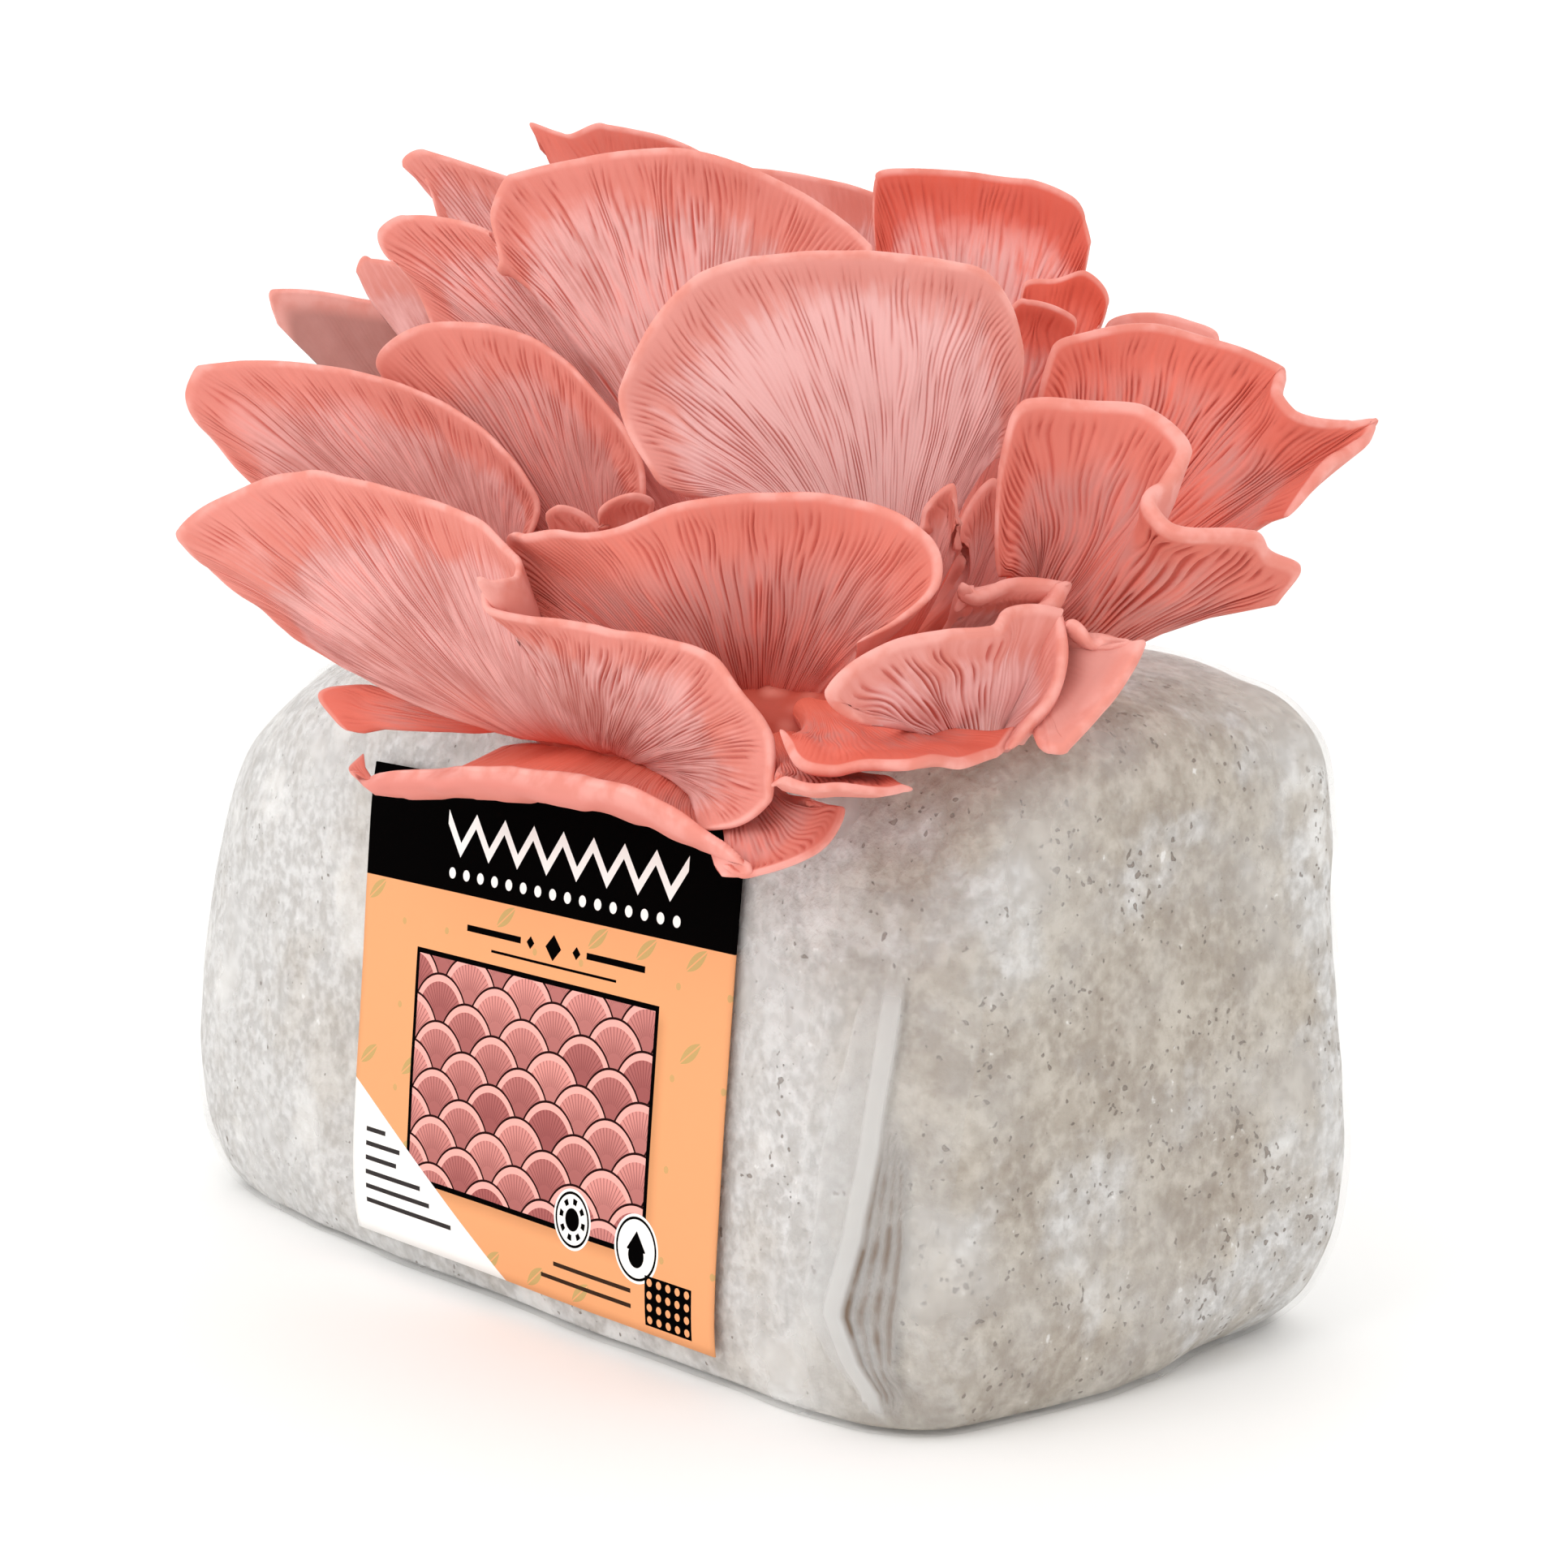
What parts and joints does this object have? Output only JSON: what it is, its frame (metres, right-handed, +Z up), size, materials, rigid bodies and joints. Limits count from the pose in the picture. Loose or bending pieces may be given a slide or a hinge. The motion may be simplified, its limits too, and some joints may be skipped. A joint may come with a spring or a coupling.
{
  "type": "oyster mushroom grow kit",
  "caption": "Bagged mushroom growing block with a printed label, fruiting a cluster of fan-shaped pink oyster mushrooms from a cut along its top front edge.",
  "frame": {"origin": "centre of the bag's flat underside", "axes": "+Z up; X along the bag's long side, with the end nearest the cluster at +X; the label faces -Y"},
  "size_m": [0.2756, 0.1462, 0.2198],
  "materials": {
    "mycelium_block": "matte, felted with white mycelium",
    "bag_film": "clear, slightly hazy",
    "label_paper": "satin printed",
    "filter_fleece": "matte",
    "clear_tape": "gloss",
    "mushroom_base": "matte",
    "mushroom_flesh": "matte, gilled on one side"
  },
  "bodies": {
    "root": {"substrate_block": "mycelium_block", "grow_bag": "bag_film", "label": "label_paper", "filter_patch": "filter_fleece", "tape_strip": "clear_tape", "cluster_base": "mushroom_base", "mushroom_front_left": "mushroom_flesh", "mushroom_front_lip": "mushroom_flesh", "mushroom_front_low": "mushroom_flesh", "mushroom_left_low": "mushroom_flesh", "mushroom_front_centre": "mushroom_flesh", "mushroom_front_curled": "mushroom_flesh", "mushroom_right_lip": "mushroom_flesh", "mushroom_right_drooping": "mushroom_flesh", "mushroom_front_thin": "mushroom_flesh", "mushroom_front_fold": "mushroom_flesh", "mushroom_right_front": "mushroom_flesh", "mushroom_centre": "mushroom_flesh", "mushroom_left": "mushroom_flesh", "mushroom_left_upper": "mushroom_flesh", "mushroom_tall": "mushroom_flesh", "mushroom_right": "mushroom_flesh", "mushroom_tall_right": "mushroom_flesh", "mushroom_back_left": "mushroom_flesh", "mushroom_back_left_small": "mushroom_flesh", "mushroom_back_tall": "mushroom_flesh", "mushroom_back_top": "mushroom_flesh", "mushroom_back_middle": "mushroom_flesh", "mushroom_back_right_small": "mushroom_flesh", "mushroom_right_small": "mushroom_flesh", "mushroom_back_right": "mushroom_flesh", "young_left_front": "mushroom_flesh", "young_left": "mushroom_flesh", "young_right_front": "mushroom_flesh", "young_right": "mushroom_flesh"}
  },
  "joints": []
}
